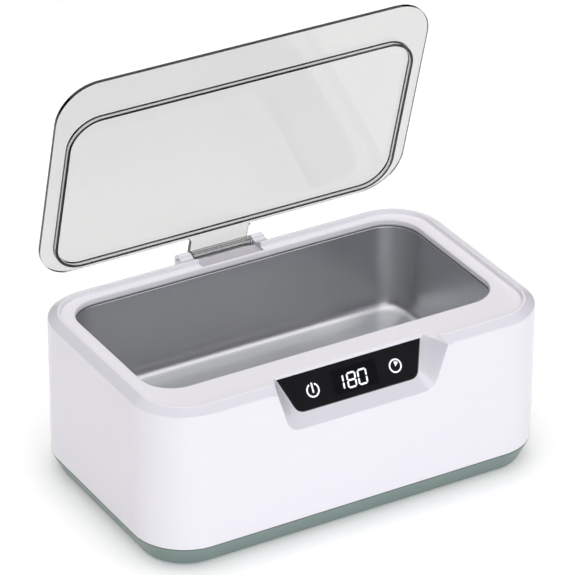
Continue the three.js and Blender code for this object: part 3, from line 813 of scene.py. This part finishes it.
power_outer = arc(POWER_X, ICON_UP, 3.2, 115, 425, 40)
power_inner = arc(POWER_X, ICON_UP, 2.5, 425, 115, 40)
inlay("power_icon_ring", power_outer + power_inner, lit_graphic)
power_bar = rounded_rect(POWER_X - 0.38, POWER_X + 0.38, ICON_UP - 1.2, ICON_UP + 3.4, 0.3, 4)
inlay("power_icon_bar", power_bar, lit_graphic)
timer_outer, timer_inner = circle(TIMER_X, ICON_UP, 3.15), circle(TIMER_X, ICON_UP, 2.47)
timer_rings = (
    (timer_outer, BURIED), (timer_outer, -PROUD), (timer_inner, -PROUD), (timer_inner, BURIED)
)
timer_ring = loft([
    [panel_point(x, up, behind) for x, up in points] for points, behind in timer_rings
], ring_shaped=True)
place(shade(timer_ring, 40), "timer_icon_ring", "housing", lit_graphic)
timer_wedge = [(TIMER_X, ICON_UP - 0.3), *arc(TIMER_X, ICON_UP, 1.9, 35, 102, 10)]
inlay("timer_icon_wedge", timer_wedge, lit_graphic)

# ---- Lid, drawn closed about its hinge axis ----
LID_REAR = BACK - SHELF_INSET - 0.8 - HINGE_Y  # room behind it to swing
LID_FRONT = -BACK + SHELF_INSET + GAP - HINGE_Y
LID_HALF = SIDE - SHELF_INSET - GAP
LID_BOTTOM = SHELF_Z + GAP - HINGE_Z
LID_TOP = LID_BOTTOM + LID_THICKNESS
RIB_BOTTOM = LID_BOTTOM - 2.2
RIB_OUTSIDE, RIB_INSIDE = -0.15, -1.5  # outsets from the tank's mouth
TAB_FLARE = 2.5  # the radius where the tab leaves the plate


def tab_flare(side):
    """The rounded corner between the plate's rear edge and a side of its tab."""
    end, reach = TAB_HALF + TAB_FLARE, LID_REAR + TAB_FLARE
    web = [
        (TAB_HALF - 1, LID_REAR - 1),
        (end, LID_REAR - 1),
        *bend((end, LID_REAR), (TAB_HALF, LID_REAR), (TAB_HALF, reach), 8),
        (TAB_HALF, reach),
        (TAB_HALF - 1, reach),
    ]
    return prism([(side * x, y) for x, y in web], LID_BOTTOM, LID_TOP)


def lid_rib():
    """The raised rib under the lid, which drops into the tank's mouth."""
    top = LID_BOTTOM + 1  # inside the plate
    profile = (
        (RIB_OUTSIDE, RIB_BOTTOM), (RIB_OUTSIDE, top), (RIB_INSIDE, top), (RIB_INSIDE, RIB_BOTTOM)
    )
    return loft([
        [(x, y - HINGE_Y, z) for x, y in mouth_outline(outset)] for outset, z in profile
    ], ring_shaped=True)


def lid_plate():
    corner = CORNER_RADIUS - SHELF_INSET
    outline = rounded_rect(-LID_HALF, LID_HALF, LID_FRONT, LID_REAR, corner)
    plate = prism(outline, LID_BOTTOM, LID_TOP)
    nose = [*bend((1.2, LID_BOTTOM), (0.8, LID_TOP), (-1.6, LID_TOP), 8), (-1.6, LID_TOP)]
    root = LID_REAR - 2
    tab = along_x([(root, LID_BOTTOM), *nose, (root, LID_TOP)], -TAB_HALF, TAB_HALF)
    barrel = rod_along_x(BARREL_RADIUS, -TAB_HALF, TAB_HALF, 0, 0, 64)
    heel = box(-5, 5, 0, 5.9, -1.3, 1.3)  # meets the back wall when the lid is fully open
    join(plate, tab, barrel, heel, tab_flare(-1), tab_flare(1), lid_rib())
    cut(plate, rod_along_x(PIN_BORE, -TAB_HALF - 1, TAB_HALF + 1, 0, 0))

    def radius(p):
        if p.z < LID_BOTTOM - 0.1 and p.y < LID_REAR:
            return 0.2  # the rib
        if p.y > LID_REAR - 0.1 and abs(p.x) < TAB_HALF + 3:
            return 0.12  # the tab and its barrel
        if p.z < LID_TOP - 0.05:
            return 0.3
        return 0.3 + 0.45 * min(1, (LID_REAR - p.y) / 8)  # less towards the rear edge

    return shade(soften(plate, radius, 30, slices=[("X", 0)]))


def lid_tint(face):
    """0 for the clear faces, 1 for the edge, 2 for the rib. The edge and the rib take darker tints,
    which are painted shade.
    """
    in_plate = face.center.y < LID_REAR + 0.1
    if in_plate and face.center.z < LID_BOTTOM - 0.2:
        return 2
    upright = abs(face.normal.z) < 0.5
    return 1 if in_plate and upright and face.center.z > LID_BOTTOM else 0


lid = lid_plate()
tints = [lid_tint(face) for face in lid.data.polygons]
place(lid, "lid_plate", "lid", smoky_plastic, ["lid", "lid_seal"], AT_HINGE)
for material in (smoky_edge_painted_shade, smoky_rib_painted_shade):
    lid.data.materials.append(material)
lid.data.polygons.foreach_set("material_index", tints)
lid.visible_shadow = False  # light passes through the clear plastic

# ---- Hinge ----
pin = soften(rod_along_x(PIN_RADIUS, -LUG_OUTER, LUG_OUTER, HINGE_Y, HINGE_Z), 0.3, 40)
place(shade(pin), "hinge_rod", "housing", turned_steel, ["hinge_pin"])


# ---- Power inlet ----
def power_inlet():
    """A flange on the back wall and a block behind it, with a socket for a two-pole plug."""
    x, z = INLET_X, INLET_Z
    apart, socket_radius, mouth = 4.3, 4.6, BACK + 4
    flange = rounded_rect(x - 13, x + 13, z - 8.5, z + 8.5, 2.5, 8)
    body = loft([[(px, y, pz) for px, pz in flange] for y in (BACK + GAP, BACK + 2)])
    join(body, inlet_block(INLET_HALF, INLET_HALF_HEIGHT, BACK - 14, BACK + 1))
    socket = rod_along_y(socket_radius, x - apart, BACK - 10, mouth, z)
    other_end = rod_along_y(socket_radius, x + apart, BACK - 10, mouth, z)
    join(socket, other_end, inlet_block(apart, socket_radius, BACK - 10, mouth))
    holes = [rod_along_y(1.5, x + at, BACK - 16, BACK, z, 24) for at in (-apart, apart)]
    cut(body, socket, *holes)
    return shade(soften(body, lambda p: 0.3 if p.y > BACK - 0.5 else 0.1, 40))


place(power_inlet(), "power_inlet_body", "housing", black_plastic, ["power_inlet"])

# ---- CAD pieces that stay as they are, with their own finishes ----
board = Finish("circuit_board", linear(32, 92, 56), 0.38)
board.mottle(400, 0.25, 4).wander(300, 0.08).grain(1400, 4e-6)
copper = Finish("copper_winding", linear(196, 118, 72), 0.34, 1.0)
turns = copper.node("ShaderNodeTexWave", Scale=900.0, Distortion=0.6, bands_direction="Z")
copper.link(copper.place, turns.inputs["Vector"])
copper.mottle(300, 0.15).relief(turns.outputs["Fac"], 4e-5)
machined = Finish("machined_aluminium", linear(186, 188, 192), 0.38, 1.0)
tooled = machined.stretched(1, 1, 14)
machined.mottle(200, 0.08).wander(500, 0.08, tooled).grain(700, 2e-6, 3, tooled)
glass = Finish("clear_glass", (0.95, 0.97, 0.97, 1.0), 0.02)
glass.set("Transmission Weight", 1.0)
glass.grain(300, 1e-6, 1)
ceramic = plain("silvered_ceramic", linear(172, 168, 158), 0.5)
ferrite = plain("matt_ferrite", linear(56, 56, 60), 0.7, grain=(1600, 1e-5))
tape = plain("yellow_tape", linear(222, 184, 62), 0.36, grain=(200, 8e-6))
sleeve = plain("capacitor_sleeve", linear(38, 52, 92), 0.36, grain=(700, 3e-6))
nylon = plain("natural_nylon", linear(222, 218, 204), 0.4)
red_lead = plain("red_lead", linear(176, 34, 32), 0.42)
black_lead = plain("black_lead", linear(24, 24, 26), 0.42)
carried = {  # by how the node's name starts; the rest are black plastic
    "tank_seal": silicone,
    "hinge_washer": turned_steel,
    "inlet_pin": brass,
    "transducer_horn": machined.material,
    "transducer_back_mass": turned_steel,
    "transducer_bolt": zinc,
    "piezo_ring": ceramic,
    "electrode_plate": brass,
    "driver_board": board.material,
    "display_board": board.material,
    "board_screw": zinc,
    "transformer_core": ferrite,
    "transformer_winding": tape,
    "output_choke": copper.material,
    "bulk_capacitor": sleeve,
    "supply_capacitor": sleeve,
    "film_capacitor": tape,
    "heatsink": machined.material,
    "fuse": glass.material,
    "ribbon_socket": nylon,
    "touch_spring": turned_steel,
    "display_ribbon": nylon,
    "inlet_lead_left": red_lead,
    "inlet_lead_right": black_lead,
    "transducer_lead_left": red_lead,
    "transducer_lead_right": black_lead,
}
for name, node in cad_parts.items():
    if node.hide_render:
        continue  # replaced above
    matches = (finish for start, finish in carried.items() if name.startswith(start))
    node.data.materials.clear()
    node.data.materials.append(next(matches, black_plastic))

# ---- Room, light and camera ----
floor_bm = bmesh.new()
bmesh.ops.create_grid(floor_bm, x_segments=1, y_segments=1, size=6)
floor = to_object(floor_bm, "floor")
ground = Finish("pale_floor", linear(253, 253, 254), 0.6, level=0.2)
ground.mottle(3, 0.004)
ground.set("Emission Color", (1, 1, 1, 1))
ground.set("Emission Strength", 0.2)  # the contact shadow stays pale
floor.data.materials.append(ground.material)

world = bpy.data.worlds.new("studio")
bpy.context.scene.world = world
world.use_nodes = True
sky = world.node_tree
background = sky.nodes["Background"]
direction = sky.nodes.new("ShaderNodeTexCoord")
split = sky.nodes.new("ShaderNodeSeparateXYZ")
sky.links.new(direction.outputs["Generated"], split.inputs["Vector"])
side_light = ramp(sky, split.outputs["X"], -1, 1, 0.09, 0.0)  # the room is brighter on the left
sky.links.new(side_light, background.inputs["Strength"])
background.inputs["Color"].default_value = (1, 1, 1, 1)


def softbox(name, position, size, power, colour):
    """A rectangular lamp that faces the object."""
    lamp = bpy.data.lights.new(name, "AREA")
    lamp.shape = "RECTANGLE"
    lamp.size, lamp.size_y = size
    lamp.energy = power
    lamp.color = colour
    made = bpy.data.objects.new(name, lamp)
    bpy.context.scene.collection.objects.link(made)
    made.location = position
    aim = Vector((0, 0, 0.05)) - Vector(position)
    made.rotation_euler = aim.to_track_quat("-Z", "Y").to_euler()


softbox("top_softbox", (0.0, 0.0, 2.2), (4.5, 4.5), 90, (1, 0.99, 0.975))
softbox("front_softbox", (-0.55, -3.2, 1.1), (2.2, 1.8), 40.5, (0.94, 0.945, 1))

CAMERA_TURN, CAMERA_DOWN, CAMERA_ROLL = -30.53, 29.3, 0.28  # degrees
camera = bpy.data.cameras.new("camera")
camera.lens = 251.8
camera.sensor_width = 36
camera.clip_end = 50
viewer = bpy.data.objects.new("camera", camera)
bpy.context.scene.collection.objects.link(viewer)
viewer.location = (-0.7873, -1.3344, 0.9559)
viewer.rotation_euler = (
    Matrix.Rotation(math.radians(CAMERA_TURN), 4, "Z")
    @ Matrix.Rotation(math.radians(90 - CAMERA_DOWN), 4, "X")
    @ Matrix.Rotation(math.radians(CAMERA_ROLL), 4, "Z")
).to_euler()
bpy.context.scene.camera = viewer
bpy.context.scene.view_settings.view_transform = "Standard"
